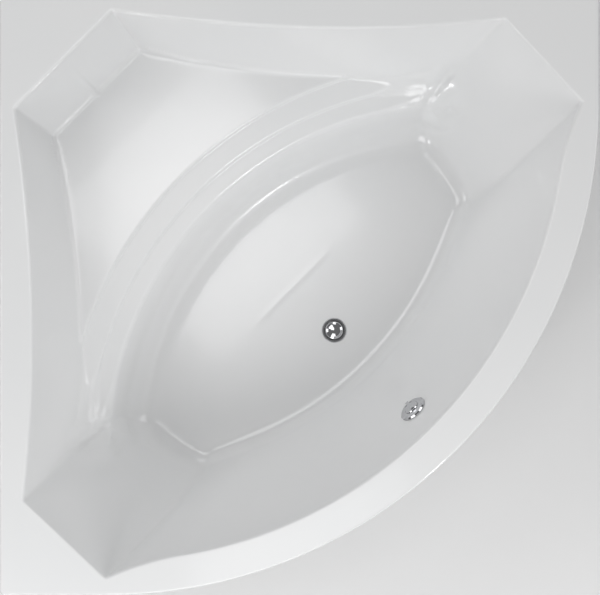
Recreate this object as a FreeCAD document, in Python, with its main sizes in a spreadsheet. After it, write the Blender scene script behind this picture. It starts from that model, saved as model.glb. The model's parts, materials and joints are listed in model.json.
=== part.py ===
import FreeCAD, Part
import math
import os
import re
import Sketcher
from FreeCAD import Placement, Rotation, Vector

# Corner bathtub, in millimetres. +Z is up, the two straight sides stand against walls at +Y and -X,
# and the curved front faces +X and -Y. The origin is on the floor, under the middle of the square plan.
# Inside the bath the shape is symmetric about the diagonal, so the basin, the frame and the fittings are
# drawn on the diagonal axes: first coordinate towards the curved front, second coordinate across.

doc = FreeCAD.newDocument("cornerBath")

SIZES = [
    ("sideLength", 1500, "length of each wall side"),
    ("rimHeight", 600, "rim above the floor"),
    ("frontRadius", 1230, "outer curve of the front"),
    ("deckCorner", 15, "rounding of the three corners of the rim"),
    ("lipDepth", 40, "down-turned edge of the rim"),
    ("shellWall", 6, "acrylic with its backing"),
    ("deckEdge", 5, "rounding of the rim's outer edge"),
    ("openingEdge", 8, "rounding between rim and basin"),
    ("basinDepth", 430, "rim to floor of the basin"),
    ("seatDepth", 220, "rim to corner seat"),
    ("chamferTop", 834, "corner wall from the origin, at the rim"),
    ("chamferLow", 701.4, "corner wall from the origin, at floor level"),
    ("backTop", 847, "back rest from the diagonal, at the rim"),
    ("backLow", 562, "back rest from the diagonal, at floor level"),
    ("backTilt", 1.7, "how far a back rest turns in towards the front, degrees"),
    ("frontTop", 1143, "front wall radius at the rim"),
    ("frontLow", 965, "front wall radius at the floor"),
    ("tipFlare", 64, "how far the front wall swings out at its ends, at the rim"),
    ("tipFlareLow", 19, "the same at floor level"),
    ("seatAxis", 600, "vertical axis that seat and terraces are turned about"),
    ("seatRadius", 1050, "front edge of the seat"),
    ("terraceUpper", 992, "outer edge of the upper terrace"),
    ("terraceRiser", 12, "height of each low step"),
    ("terraceFall", 18, "fall across the upper terrace"),
    ("lensTop", 940, "edge of the sunken floor, seat side"),
    ("lensLow", 893, "sunken floor at its bottom, seat side"),
    ("lensEndTop", 545, "edge of the sunken floor at the back rests"),
    ("lensEndLow", 505, "sunken floor at its bottom, back rest side"),
    ("lensEdgeDepth", 290, "rim to the edge of the sunken floor"),
    ("ledgeAngle", 24, "slope of the ledge at the foot of a back rest"),
    ("ledgeBlend", 200, "blend between back rest and ledge"),
    ("floorBlend", 50, "blend between walls and floor"),
    ("seatBlend", 12, "blend between walls and seat"),
    ("stepEdge", 5, "rounding of the terrace edges"),
    ("drainPlace", 138, "waste on the diagonal"),
    ("drainHole", 26, "radius of the waste hole"),
    ("overflowDepth", 117, "rim to the overflow"),
    ("overflowHole", 27, "radius of the overflow hole"),
    ("boardThick", 16, "chipboard under floor and seat"),
    ("tubeWidth", 30, "square tube of the frame"),
    ("tubeWall", 2, "its wall"),
    ("frameTop", 148, "top of the frame"),
    ("frontRailPlace", 225, "front rail on the diagonal"),
    ("frontRailLength", 640, "front rail"),
    ("rearRailPlace", -170, "rear rail on the diagonal"),
    ("rearRailLength", 900, "rear rail"),
    ("crossPlace", 180, "cross bars from the diagonal"),
    ("beamEnd", -700, "rear end of the seat beam"),
    ("postPlace", -560, "seat post on the diagonal"),
    ("studRadius", 6, "levelling stud"),
    ("studTop", 146, "top of a levelling stud"),
    ("threadPlay", 0.05, "radial clearance of a stud in its nut"),
    ("padRadius", 25, "foot pad"),
    ("padHeight", 14, "foot pad"),
    ("nutAcross", 11, "half the width of a hexagon nut, to its corners"),
    ("nutHeight", 9, "hexagon nut"),
    ("panelWall", 4, "front panel"),
    ("panelInset", 12, "front panel behind the edge of the rim"),
    ("panelBottom", 15, "front panel above the floor"),
    ("panelTop", 590, "top edge of the front panel"),
    ("hoseRadius", 11, "overflow hose between its ribs"),
    ("ribHeight", 3, "ribs of the overflow hose"),
    ("hoseWall", 1.5, "wall of the overflow hose"),
    ("cableRadius", 3, "cable sleeve"),
    ("outletTurn", 10, "outlet off the diagonal, past the seat foot, degrees"),
    ("outletRadius", 20, "free end of the outlet pipe"),
    ("outletLength", 300, "outlet pipe"),
    ("outletFree", 57, "stretch of its end that a pipe socket pushes over"),
]

sheet = doc.addObject("Spreadsheet::Sheet", "Sizes")
for row, (alias, value, note) in enumerate(SIZES, start=1):
    sheet.set(f"A{row}", alias)
    sheet.set(f"B{row}", str(value))
    sheet.set(f"C{row}", note)
    sheet.setAlias(f"B{row}", alias)
doc.recompute()


def size(alias):
    return float(sheet.get(alias))


nodes = []          # the finished pieces, one file each
upAxis = Vector(0, 0, 1)
middle = Vector(0, 0, 0)
diagonal = Placement(middle, Rotation(upAxis, -45))


def onSheet(text):
    """Expression with its words read from the sheet, so "padHeight + 2" becomes "Sizes.padHeight + 2"."""
    return re.sub(r"[A-Za-z]\w*", lambda word: "Sizes." + word.group(), text)


def worth(text):
    """Value of such an expression, for placements and for the first drawing of a sketch."""
    return float(sheet.evalExpression(text))


def bind(item, **sizes):
    for name, text in sizes.items():
        item.setExpression(name, onSheet(text))


def finish(item, label, placement=None):
    """Give a piece its name and its place, and list it for export."""
    item.Label = label
    if placement is not None:
        item.Placement = placement
    nodes.append(item)
    return item


def onDiagonal(along, across, height, turn=None):
    """Placement at a point of the diagonal axes."""
    return diagonal * Placement(Vector(along, across, height), turn or Rotation())


# ---- primitives and booleans -------------------------------------------------------------------


def box(name, length, width, height, place=(0, 0, 0)):
    item = doc.addObject("Part::Box", name)
    bind(item, Length=length, Width=width, Height=height)
    item.Placement.Base = Vector(*place)
    return item


def cylinder(name, radius, height, placement=None):
    item = doc.addObject("Part::Cylinder", name)
    bind(item, Radius=radius, Height=height)
    if placement is not None:
        item.Placement = placement
    return item


def cut(name, base, tools):
    item = doc.addObject("Part::Cut", name)
    item.Base = base
    item.Tool = tools[0] if len(tools) == 1 else fuse(name + "_tools", tools)
    return item


def fuse(name, parts):
    item = doc.addObject("Part::MultiFuse", name)
    item.Shapes = parts
    return item


def group(name, parts):
    item = doc.addObject("Part::Compound", name)
    item.Links = parts
    return item


# ---- bodies drawn from sketches ----------------------------------------------------------------


def outlineSketch(body, name, role, points):
    """Closed outline of straight edges; each point is a pair of expressions, measured from the origin."""
    sketch = body.newObject("Sketcher::SketchObject", name)
    plane = next(item for item in body.Origin.OriginFeatures if item.Role == role)
    sketch.AttachmentSupport = (plane, [""])
    sketch.MapMode = "FlatFace"
    spots = [Vector(worth(across), worth(up), 0) for across, up in points]
    count = len(spots)
    for i, spot in enumerate(spots):
        sketch.addGeometry(Part.LineSegment(spot, spots[(i + 1) % count]), False)
    for i in range(count):
        sketch.addConstraint(Sketcher.Constraint("Coincident", i, 2, (i + 1) % count, 1))
    for i, (across, up) in enumerate(points):
        for kind, text, value in (("DistanceX", across, spots[i].x), ("DistanceY", up, spots[i].y)):
            index = sketch.addConstraint(Sketcher.Constraint(kind, -1, 1, i, 1, value))
            sketch.setExpression(f"Constraints[{index}]", onSheet(text))
    return sketch


def turned(label, points):
    """Solid of revolution about the upright axis; each point is (radius, height)."""
    body = doc.addObject("PartDesign::Body", label)
    sketch = outlineSketch(body, label + "_profile", "XZ_Plane", points)
    turn = body.newObject("PartDesign::Revolution", label + "_turn")
    turn.Profile = sketch
    turn.ReferenceAxis = (sketch, ["V_Axis"])
    turn.Angle = 360
    return body


def padded(label, points, thickness, role="XY_Plane"):
    """Straight-edged outline given a thickness."""
    body = doc.addObject("PartDesign::Body", label)
    sketch = outlineSketch(body, label + "_outline", role, points)
    pad = body.newObject("PartDesign::Pad", label + "_pad")
    pad.Profile = sketch
    bind(pad, Length=thickness)
    return body


# ---- tub shell: free-form, so its shape is worked out here -------------------------------------


frontCentrePlan = (size("sideLength") / 2 - size("frontRadius"), size("frontRadius") - size("sideLength") / 2)


def blend(high, low, share):
    return high + (low - high) * share


def onAxes(x, y):
    """A point of the square plan, on the diagonal axes."""
    return diagonal.inverse().multVec(Vector(x, y, 0))


def circleThrough(first, second, third):
    curve = Part.Arc(first, second, third).toShape().Curve
    return curve.Center, curve.Radius


def lineMeetsCircle(point, direction, centre, radius, near):
    """Where a line meets a circle, the one of the two points that is near."""
    offset = point - centre
    half = offset.dot(direction)
    reach = math.sqrt(half * half - offset.dot(offset) + radius * radius)
    return min((point + direction * (side * reach - half) for side in (-1, 1)),
               key=lambda spot: (spot - near).Length)


def arcAbout(centre, start, end):
    """The shorter arc from start to end about a centre."""
    toMiddle = (start + end) * 0.5 - centre
    toMiddle.Length = (start - centre).Length
    return Part.Arc(start, centre + toMiddle, end).toShape()


def besideEdge(edge, corner, inward, radius):
    """Where a rounding's centre can lie beside an edge: a point and direction, or a centre and radius."""
    if isinstance(edge.Curve, Part.Line):
        direction = (edge.valueAt(edge.LastParameter) - edge.valueAt(edge.FirstParameter)).normalize()
        normal = (inward - direction * inward.dot(direction)).normalize()
        return corner + normal * radius, direction
    centre = edge.Curve.Center
    within = inward.dot(centre - corner) > 0
    return centre, edge.Curve.Radius - radius if within else edge.Curve.Radius + radius


def shortWay(edge, corner):
    """One millimetre along an edge from its end at the corner."""
    spots = [edge.valueAt(edge.getParameterByLength(along)) for along in (1, edge.Length - 1)]
    return min((spot - corner for spot in spots), key=lambda step: step.Length)


def footOn(edge, spot):
    """The point of an edge's line or circle nearest to a spot."""
    return edge.Curve.value(edge.Curve.parameter(spot))


def redrawn(edge, start, end):
    """The same line or circle between other ends."""
    if isinstance(edge.Curve, Part.Line):
        return Part.makeLine(start, end)
    return arcAbout(edge.Curve.Center, start, end)


def cornerCentre(first, second, corner, inward, radius):
    """Centre of the rounding between two edges."""
    straight, other = (first, second) if isinstance(first.Curve, Part.Line) else (second, first)
    point, direction = besideEdge(straight, corner, inward, radius)
    if not isinstance(other.Curve, Part.Line):
        return lineMeetsCircle(point, direction, *besideEdge(other, corner, inward, radius), corner)
    far, slant = besideEdge(other, corner, inward, radius)
    gap = far - point
    return point + direction * (gap.cross(slant).z / direction.cross(slant).z)


def roundedChain(edges, radii):
    """Open chain of edges with corner i, between edges i and i + 1, rounded to radii[i]."""
    ends = [[edge.firstVertex(True).Point, edge.lastVertex(True).Point] for edge in edges]
    arcs = []
    for i, radius in enumerate(radii):
        if radius:
            first, second, corner = edges[i], edges[i + 1], ends[i][1]
            inward = shortWay(first, corner) + shortWay(second, corner)
            centre = cornerCentre(first, second, corner, inward, radius)
            ends[i][1] = footOn(first, centre)
            ends[i + 1][0] = footOn(second, centre)
            arcs.append(arcAbout(centre, ends[i][1], ends[i + 1][0]))
        else:
            arcs.append(None)
    chain = []
    for edge, span, arc in zip(edges, ends, arcs + [None]):
        chain.append(redrawn(edge, *span))
        if arc:
            chain.append(arc)
    return chain


def closedAcross(half, height):
    """Half an outline and its mirror image, as one closed wire at a height."""
    other = [edge.mirror(middle, Vector(0, 1, 0)) for edge in reversed(half)]
    wire = Part.Wire(half + other)
    wire.translate(Vector(0, 0, height))
    return wire


# The bowed wall beside a wall of the room: its two ends and its middle, at the rim and at floor level.
bowedTop = [onAxes(-468, 711), onAxes(21, 667.6), onAxes(512, 691)]
bowedLow = [onAxes(-385.1, 606.8), onAxes(-47.8, 519.5), onAxes(296, 504)]
flareStart = (672, 400)         # where the front wall begins to swing out, from the diagonal
cornerAtRim = (8, 10, 5)        # corner radii: at the seat, at the back rest, at the tip
cornerAtFloor = (12, 40, 250)
backPivot = Vector(15, 0, 0)    # the back rests' tilt is turned about an upright axis here
backTurn = Rotation(upAxis, -size("backTilt"))


def basinOutline(depth, grow):
    """Outline of the basin walls at a depth, drawn larger by grow."""
    share = depth / size("basinDepth")
    chamfer = -blend(size("chamferTop"), size("chamferLow"), share) - grow
    back = blend(size("backTop"), size("backLow"), share) + grow
    onBack = backPivot + backTurn.multVec(Vector(0, back, 0))
    alongBack = backTurn.multVec(Vector(1, 0, 0))
    frontRadius = blend(size("frontTop"), size("frontLow"), share) + grow
    frontCentre = onAxes(*frontCentrePlan)
    bowed = [blend(high, low, share) for high, low in zip(bowedTop, bowedLow)]
    bowCentre, bowRadius = circleThrough(*bowed)
    seatCorner = lineMeetsCircle(Vector(chamfer, 0, 0), Vector(0, 1, 0), bowCentre, bowRadius - grow, bowed[0])
    backCorner = lineMeetsCircle(onBack, alongBack, bowCentre, bowRadius - grow, bowed[2])
    swing = math.asin(blend(*flareStart, share) / frontRadius)
    flareDirection = Vector(math.cos(swing), math.sin(swing), 0)
    flare = frontCentre + flareDirection * frontRadius
    plainTip = lineMeetsCircle(onBack, alongBack, frontCentre, frontRadius, Vector(frontRadius, back, 0))
    tip = plainTip + alongBack * blend(size("tipFlare"), size("tipFlareLow"), share)
    chord = tip - flare
    flareCentre = flare + flareDirection * (chord.Length ** 2 / (2 * flareDirection.dot(chord)))
    apex = frontCentre + Vector(frontRadius, 0, 0)
    half = [
        Part.makeLine(Vector(chamfer, 0, 0), seatCorner),
        arcAbout(bowCentre, seatCorner, backCorner),
        Part.makeLine(backCorner, tip),
        arcAbout(flareCentre, tip, flare),
        arcAbout(frontCentre, flare, apex),
    ]
    radii = [blend(high, low, share) for high, low in zip(cornerAtRim, cornerAtFloor)]
    return closedAcross(roundedChain(half, radii + [0]), size("rimHeight") - depth)


lensCorner = (32, 70)           # corner radii of the sunken floor, at its edge and at its bottom
lensReach = 420                 # past the front wall, which cuts the sunken floor


def lensOutline(depth, grow):
    """Outline of the sunken floor at a depth, drawn larger by grow, open towards the front."""
    edge = size("lensEdgeDepth")
    share = (depth - edge) / (size("basinDepth") - edge)
    radius = blend(size("lensTop"), size("lensLow"), share) + grow
    end = blend(size("lensEndTop"), size("lensEndLow"), share) + grow
    axis = Vector(size("seatAxis"), 0, 0)
    corner = Vector(axis.x - math.sqrt(radius ** 2 - end ** 2), end, 0)
    front = Vector(lensReach, end, 0)
    half = [
        Part.makeLine(Vector(lensReach, 0, 0), front),
        Part.makeLine(front, corner),
        arcAbout(axis, corner, axis - Vector(radius, 0, 0)),
    ]
    return closedAcross(roundedChain(half, [0, blend(*lensCorner, share)]), size("rimHeight") - depth)


def terraceDepths():
    """Rim to the top of the upper terrace, to its outer edge, and to the top of the lower terrace."""
    upper = size("seatDepth") + size("terraceRiser")
    upperEnd = upper + size("terraceFall")
    return upper, upperEnd, upperEnd + size("terraceRiser")


def terraceBlock(grow):
    """What fills the basin under seat and terraces: a profile turned about the seat axis."""
    riser = size("terraceRiser")
    upper, upperEnd, lower = terraceDepths()
    slope = size("terraceFall") / (size("seatRadius") - riser / 2 - size("terraceUpper"))
    far = size("seatRadius") + 750
    near = size("lensTop") - 240
    bottom = size("basinDepth") + 50
    edge = size("terraceUpper") - riser / 2
    profile = [
        (far, size("seatDepth")),
        (size("seatRadius"), size("seatDepth")),
        (size("seatRadius") - riser / 2, upper),
        (size("terraceUpper"), upperEnd),
        (edge, lower),
        (near, lower + (edge - near) * slope),
        (near, bottom),
        (far, bottom),
    ]
    axis = Vector(size("seatAxis"), 0, 0)
    points = [Vector(axis.x - radius - grow, 0, size("rimHeight") - depth - grow) for radius, depth in profile]
    face = Part.Face(Part.makePolygon(points + points[:1]))
    sweep = 62                  # degrees each side of the diagonal, past the walls
    face.rotate(axis, upAxis, -sweep)
    return face.revolve(axis, upAxis, 2 * sweep)


def ledgeBlock(grow):
    """What fills the basin under the ledge at the foot of a back rest."""
    lean = (size("backTop") - size("backLow")) / size("basinDepth")
    angle = math.radians(size("ledgeAngle"))
    edge = Vector(0, size("lensEndTop"), size("rimHeight") - size("lensEdgeDepth"))
    outward = Vector(0, math.cos(angle), math.sin(angle))
    upward = Vector(0, lean, 1).normalize()
    rim = Vector(0, size("backTop"), size("rimHeight"))
    gap = rim - edge
    reach = (gap.y - gap.z * lean) / (outward.y - outward.z * lean)
    foot = edge + outward * reach
    halfTurn = math.acos(outward.dot(upward)) / 2
    tangent = size("ledgeBlend") * math.tan(halfTurn)
    toCentre = (upward - outward).normalize()
    centre = foot + toCentre * (size("ledgeBlend") / math.cos(halfTurn))
    start = foot + upward * tangent
    end = foot - outward * tangent
    inner = edge - outward * 240
    low = size("rimHeight") - size("basinDepth") - 50
    far = size("backTop") + 150
    corners = [end, inner, Vector(0, inner.y, low), Vector(0, far, low), Vector(0, far, start.z), start]
    edges = [Part.makeLine(first, second) for first, second in zip(corners, corners[1:])]
    edges.append(Part.Arc(start, centre - toCentre * size("ledgeBlend"), end).toShape())
    face = Part.Face(Part.Wire(edges))
    face.translate(Vector(-330, grow, -grow))
    block = face.extrude(Vector(760, 0, 0))
    block.rotate(backPivot, upAxis, -size("backTilt"))
    return block


def levelEdges(shape, height, longest=900):
    """Edges that lie flat at a height."""
    return [edge for edge in shape.Edges
            if edge.Length < longest and abs(edge.CenterOfMass.z - height) < 0.5
            and all(abs(vertex.Point.z - height) < 0.5 for vertex in edge.Vertexes)]


def wallLoft(grow):
    """The basin's walls alone, from the rim to its floor."""
    return Part.makeLoft([basinOutline(0, grow), basinOutline(size("basinDepth") + grow, grow)], True, True)


def basinSolid(grow):
    """The space inside the basin, or with grow the outside of its walls."""
    walls = wallLoft(grow)
    ledge = ledgeBlock(grow)
    filling = terraceBlock(grow).multiFuse([ledge, ledge.mirror(middle, Vector(0, 1, 0))])
    lens = Part.makeLoft([lensOutline(size("seatDepth") - 20, grow),
                          lensOutline(size("basinDepth") + grow, grow)], True, True)
    space = walls.cut(filling.cut(lens))
    floor = size("rimHeight") - size("basinDepth") - grow
    space = space.makeFillet(size("floorBlend"), levelEdges(space, floor))
    seat = size("rimHeight") - size("seatDepth") - grow
    return space.makeFillet(size("seatBlend"), levelEdges(space, seat))


def rimSolid(inset, top, bottom):
    """The plan of the rim, drawn smaller by inset, between two heights."""
    half = size("sideLength") / 2 - inset
    centre = Vector(*frontCentrePlan, 0)
    corners = [Vector(half, centre.y, 0), Vector(half, half, 0), Vector(-half, half, 0),
               Vector(-half, -half, 0), Vector(centre.x, -half, 0)]
    sides = [Part.makeLine(first, second) for first, second in zip(corners, corners[1:])]
    corner = size("deckCorner") - inset / 2
    chain = roundedChain(sides, [corner] * 3)
    front = arcAbout(centre, corners[-1], corners[0])
    face = Part.Face(Part.Wire(chain + [front]))
    face.translate(Vector(0, 0, bottom))
    return face.extrude(Vector(0, 0, top - bottom))


def overflowFrame():
    """Placement of the overflow on the front wall: +Z square off it into the basin, +X down the wall."""
    depth = size("overflowDepth")
    share = depth / size("basinDepth")
    reach = onAxes(*frontCentrePlan).x + blend(size("frontTop"), size("frontLow"), share)
    lean = math.atan((size("frontTop") - size("frontLow")) / size("basinDepth"))
    turn = Rotation(Vector(0, 1, 0), math.degrees(lean) - 90) * Rotation(upAxis, 180)
    return onDiagonal(reach, 0, size("rimHeight") - depth, turn)


def mouthEdges(deck):
    """Edges where the deck meets the opening of the basin."""
    inside = size("sideLength") / 2 - size("deckCorner")
    return [edge for edge in levelEdges(deck, size("rimHeight"), wholeEdge)
            if all(max(abs(vertex.X), abs(vertex.Y)) < inside for vertex in edge.Vertexes)]


wholeEdge = 9000                # longer than any edge of the rim


def deckSolid(outside):
    """The deck with its lip and the first stretch of the basin wall, down to the foot of the lip."""
    wall = size("shellWall")
    rim = size("rimHeight")
    foot = rim - size("lipDepth")
    slab = rimSolid(0, rim, foot)
    slab = slab.makeFillet(size("deckEdge"), levelEdges(slab, rim, wholeEdge))
    opening = wallLoft(0)
    opening.Placement = diagonal
    deck = slab.cut(opening)
    deck = deck.makeFillet(size("openingEdge"), mouthEdges(deck))
    return deck.cut(rimSolid(wall, rim - wall, foot).cut(outside))


def tubShell():
    rim = size("rimHeight")
    half = size("sideLength") / 2
    space = basinSolid(0)
    for depth in terraceDepths():
        space = space.makeFillet(size("stepEdge"), levelEdges(space, rim - depth, wholeEdge))
    space.Placement = diagonal
    outside = basinSolid(size("shellWall"))
    outside.Placement = diagonal
    upperPart = Part.makeBox(2 * half, 2 * half, size("lipDepth") + 1, Vector(-half, -half, rim - size("lipDepth")))
    walls = outside.cut(upperPart).cut(space)
    shell = deckSolid(outside).fuse(walls).removeSplitter()
    drain = Part.makeCylinder(size("drainHole"), 100, Vector(0, 0, -50))
    drain.Placement = onDiagonal(size("drainPlace"), 0, rim - size("basinDepth") - 50)
    overflow = Part.makeCylinder(size("overflowHole"), 100)
    overflow.Placement = overflowFrame() * Placement(Vector(0, 0, -50), Rotation())
    return shell.cut(drain).cut(overflow)


def shaped(label, shape, placement=None):
    """A piece whose shape is worked out by the functions above."""
    item = doc.addObject("Part::Feature", label)
    item.Shape = shape
    return finish(item, label, placement)


shaped("tub_shell", tubShell())

# ---- boards and battens that stiffen the shell -------------------------------------------------

underFloor = size("rimHeight") - size("basinDepth") - size("shellWall")
underSeat = size("rimHeight") - size("seatDepth") - size("shellWall")
underDeck = size("rimHeight") - size("shellWall")


def mirrorPoints(points):
    """An outline's points for one side of the diagonal, completed with the other side."""
    return points + [(along, f"-({side})") for along, side in reversed(points)]


baseOutline = mirrorPoints([("-232", "110"), ("-186", "300"), ("-95", "440"), ("105", "440"), ("190", "300"),
                            ("235", "110")])
baseBlank = padded("base_blank", baseOutline, "boardThick")
drainOpening = cylinder("base_opening", "drainHole + 24", "2 * boardThick",
                        Placement(Vector(size("drainPlace"), 0, -size("boardThick") / 2), Rotation()))
finish(cut("base_board", baseBlank, [drainOpening]), "base_board", onDiagonal(0, 0, underFloor - size("boardThick")))

seatOutline = mirrorPoints([("-735", "125"), ("-480", "330")])
finish(padded("seat_board", seatOutline, "boardThick"), "seat_board",
       onDiagonal(0, 0, underSeat - size("boardThick")))

battenWidth, battenHeight = 28, 18
for label, angle in (("rim_batten_back", 0), ("rim_batten_side", 90)):
    batten = box(label, "sideLength * 0.54", str(battenWidth), str(battenHeight))
    turn = Placement(middle, Rotation(upAxis, angle))
    start = Vector(-330 if angle == 0 else -480, size("sideLength") / 2 - 38, underDeck - battenHeight)
    finish(batten, label, turn * Placement(start, Rotation()))

# ---- frame of square tube ----------------------------------------------------------------------

frameLow = size("frameTop") - size("tubeWidth")


def squareTube(label, length, studPlaces=()):
    """Square tube along X, its middle line at Y = 0, its underside at Z = 0, with holes for studs."""
    outer = box(label + "_outside", length, "tubeWidth", "tubeWidth", (0, -size("tubeWidth") / 2, 0))
    outer.setExpression("Placement.Base.y", onSheet("-tubeWidth / 2"))
    inner = box(label + "_inside", length + " + 2", "tubeWidth - 2 * tubeWall", "tubeWidth - 2 * tubeWall", (-1, 0, 0))
    inner.setExpression("Placement.Base.y", onSheet("tubeWall - tubeWidth / 2"))
    inner.setExpression("Placement.Base.z", onSheet("tubeWall"))
    tools = [inner]
    for i, place in enumerate(studPlaces, start=1):
        tools.append(cylinder(f"{label}_hole_{i}", "studRadius + 0.5", "2 * tubeWidth",
                              Placement(Vector(place, 0, -size("tubeWidth") / 2), Rotation())))
    return cut(label, outer, tools)


acrossTurn = Rotation(upAxis, 90)
rearwards = Rotation(upAxis, 180)
halfTube = size("tubeWidth") / 2
frontStud = size("frontRailLength") / 2 - 30
rearStud = size("rearRailLength") / 2 - 50
beamLength = size("rearRailPlace") - halfTube - size("beamEnd")
seatStud = beamLength - 55

railMiddle = size("frontRailLength") / 2
finish(squareTube("front_rail", "frontRailLength", (railMiddle - frontStud, railMiddle + frontStud)), "front_rail",
       onDiagonal(size("frontRailPlace"), -railMiddle, frameLow, acrossTurn))
railMiddle = size("rearRailLength") / 2
finish(squareTube("rear_rail", "rearRailLength", (railMiddle - rearStud, railMiddle + rearStud)), "rear_rail",
       onDiagonal(size("rearRailPlace"), -railMiddle, frameLow, acrossTurn))
for label, side in (("cross_bar_left", -1), ("cross_bar_right", 1)):
    finish(squareTube(label, "frontRailPlace - rearRailPlace - tubeWidth"), label,
           onDiagonal(size("rearRailPlace") + halfTube, side * size("crossPlace"), frameLow))
finish(squareTube("seat_beam", "rearRailPlace - tubeWidth / 2 - beamEnd", (seatStud,)), "seat_beam",
       onDiagonal(size("rearRailPlace") - halfTube, 0, frameLow, rearwards))
finish(squareTube("seat_post", "rimHeight - seatDepth - shellWall - boardThick - frameTop"), "seat_post",
       onDiagonal(size("postPlace") - halfTube, 0, size("frameTop"), Rotation(Vector(0, 1, 0), -90)))

# ---- levelling feet ----------------------------------------------------------------------------

beamFoot = size("rearRailPlace") - halfTube - seatStud
footPlaces = {
    "front_left": (size("frontRailPlace"), -frontStud),
    "front_right": (size("frontRailPlace"), frontStud),
    "rear_left": (size("rearRailPlace"), -rearStud),
    "rear_right": (size("rearRailPlace"), rearStud),
    "seat": (beamFoot, 0),
}
studFoot = 6                    # the stud's lower end, inside its pad
weldNutLow = frameLow - size("nutHeight")
nuts = []
for spot, (along, side) in footPlaces.items():
    stud = cylinder("foot_stud_" + spot, "studRadius", f"studTop - {studFoot}")
    finish(stud, "foot_stud_" + spot, onDiagonal(along, side, studFoot))
    padProfile = [("0", "0"), ("padRadius", "0"), ("padRadius", "4"), ("padRadius * 0.5", "padHeight"),
                  ("studRadius + threadPlay", "padHeight"), ("studRadius + threadPlay", str(studFoot)),
                  ("0", str(studFoot))]
    finish(turned("foot_pad_" + spot, padProfile), "foot_pad_" + spot, onDiagonal(along, side, 0))
    for kind, low in (("weld", weldNutLow), ("lock", weldNutLow - size("nutHeight"))):
        hexagon = doc.addObject("Part::Prism", f"{kind}_nut_blank_{spot}")
        hexagon.Polygon = 6
        bind(hexagon, Circumradius="nutAcross", Height="nutHeight")
        bore = cylinder(f"{kind}_nut_bore_{spot}", "studRadius + threadPlay", "nutHeight")
        nut = cut(f"{kind}_nut_{spot}", hexagon, [bore])
        nut.Placement = onDiagonal(along, side, low)
        nuts.append(nut)
finish(group("foot_nuts", nuts), "foot_nuts")

# ---- brackets that hang the rim on the wall ----------------------------------------------------

hook = 3                        # sheet thickness
bracketSheet = [
    ("0", "-80"), ("0", "0"), ("-shellWall", "0"), ("-shellWall", "25"), (f"-shellWall - {hook}", "25"),
    (f"-shellWall - {hook}", f"-{hook}"), (f"-{hook}", f"-{hook}"), (f"-{hook}", "-80"),
]
bracketWidth = 60
screwHoles = (-65, -35)
lipLow = size("rimHeight") - size("lipDepth")
brackets = (
    ("wall_bracket_back_left", 0, -250), ("wall_bracket_back_right", 0, 420),
    ("wall_bracket_side_rear", 90, 250), ("wall_bracket_side_front", 90, -420),
)
for label, angle, along in brackets:
    blank = padded(label + "_blank", bracketSheet, str(bracketWidth), "YZ_Plane")
    holes = [cylinder(f"{label}_hole_{i}", "3.5", "20",
                      Placement(Vector(bracketWidth / 2, 10, up), Rotation(Vector(1, 0, 0), 90)))
             for i, up in enumerate(screwHoles, start=1)]
    turn = Placement(middle, Rotation(upAxis, angle))
    start = Vector(along - bracketWidth / 2, size("sideLength") / 2, lipLow)
    finish(cut(label, blank, holes), label, turn * Placement(start, Rotation()))

# ---- front panel, its stays, clips and screws --------------------------------------------------

frontCentre = Vector(*frontCentrePlan, 0)
panelRadius = size("frontRadius") - size("panelInset")
panelHeight = "panelTop - panelBottom"
panelPlace = Placement(frontCentre, Rotation(upAxis, -90))
panelOuter = cylinder("panel_outside", "frontRadius - panelInset", panelHeight, panelPlace)
panelInner = cylinder("panel_inside", "frontRadius - panelInset - panelWall", panelHeight, panelPlace)
panelOuter.Angle = 90
panelInner.Angle = 90
returns = []
for name, angle in (("right", 0), ("left", -90)):
    strip = box("panel_return_" + name, "panelWall", "sideLength - frontRadius - 3 * shellWall", panelHeight)
    turn = Placement(frontCentre, Rotation(upAxis, angle))
    inner = panelRadius - size("panelWall")
    strip.Placement = turn * Placement(Vector(inner, 0, 0), Rotation())
    if name == "left":
        length = size("sideLength") - size("frontRadius") - 3 * size("shellWall")
        strip.Placement = turn * Placement(Vector(inner, -length, 0), Rotation())
    returns.append(strip)
stayAngles = {"left_outer": -41.5, "left_inner": -10, "right_inner": 10, "right_outer": 41.5}
stayStarts = {"outer": 665, "inner": 905}
stayWidth, stayThick, tabHeight = 30, 4, 46
screwRadius = 3
screwUp = frameLow + 20
aboutFront = Placement(frontCentre, Rotation(upAxis, -45))
curved = cut("panel_curve", panelOuter, [panelInner])
panelSolid = fuse("panel_solid", [curved] + returns)
panelSolid.Refine = True
screwTools, screws = [], []
for spot, angle in stayAngles.items():
    turn = aboutFront * Placement(middle, Rotation(upAxis, angle))
    start = stayStarts[spot.split("_")[1]]
    end = panelRadius - size("panelWall") - 0.1
    sheetProfile = [
        (str(start), f"-{stayThick}"), (str(end), f"-{stayThick}"), (str(end), str(tabHeight - stayThick)),
        (str(end - stayThick), str(tabHeight - stayThick)), (str(end - stayThick), "0"), (str(start), "0"),
    ]
    lying = Rotation(Vector(0, 1, 0), 90)
    blank = padded("stay_blank_" + spot, sheetProfile, str(stayWidth), "XZ_Plane")
    blank.Placement = Placement(Vector(0, stayWidth / 2, 0), Rotation())
    hole = cylinder("stay_hole_" + spot, f"{screwRadius} + 0.1", "40", Placement(Vector(end - 20, 0, 20), lying))
    finish(cut("panel_stay_" + spot, blank, [hole]), "panel_stay_" + spot,
           turn * Placement(Vector(0, 0, frameLow), Rotation()))
    throughPanel = turn * Placement(Vector(end - 20, 0, screwUp), lying)
    screwTools.append(cylinder("panel_hole_" + spot, f"{screwRadius} + 0.1", "40", throughPanel))
    shaft = cylinder("screw_shaft_" + spot, str(screwRadius), "20",
                     turn * Placement(Vector(panelRadius - 18, 0, screwUp), lying))
    head = cylinder("screw_head_" + spot, "8", "2.5",
                    turn * Placement(Vector(panelRadius, 0, screwUp), lying))
    screws.append(fuse("screw_" + spot, [shaft, head]))
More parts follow.
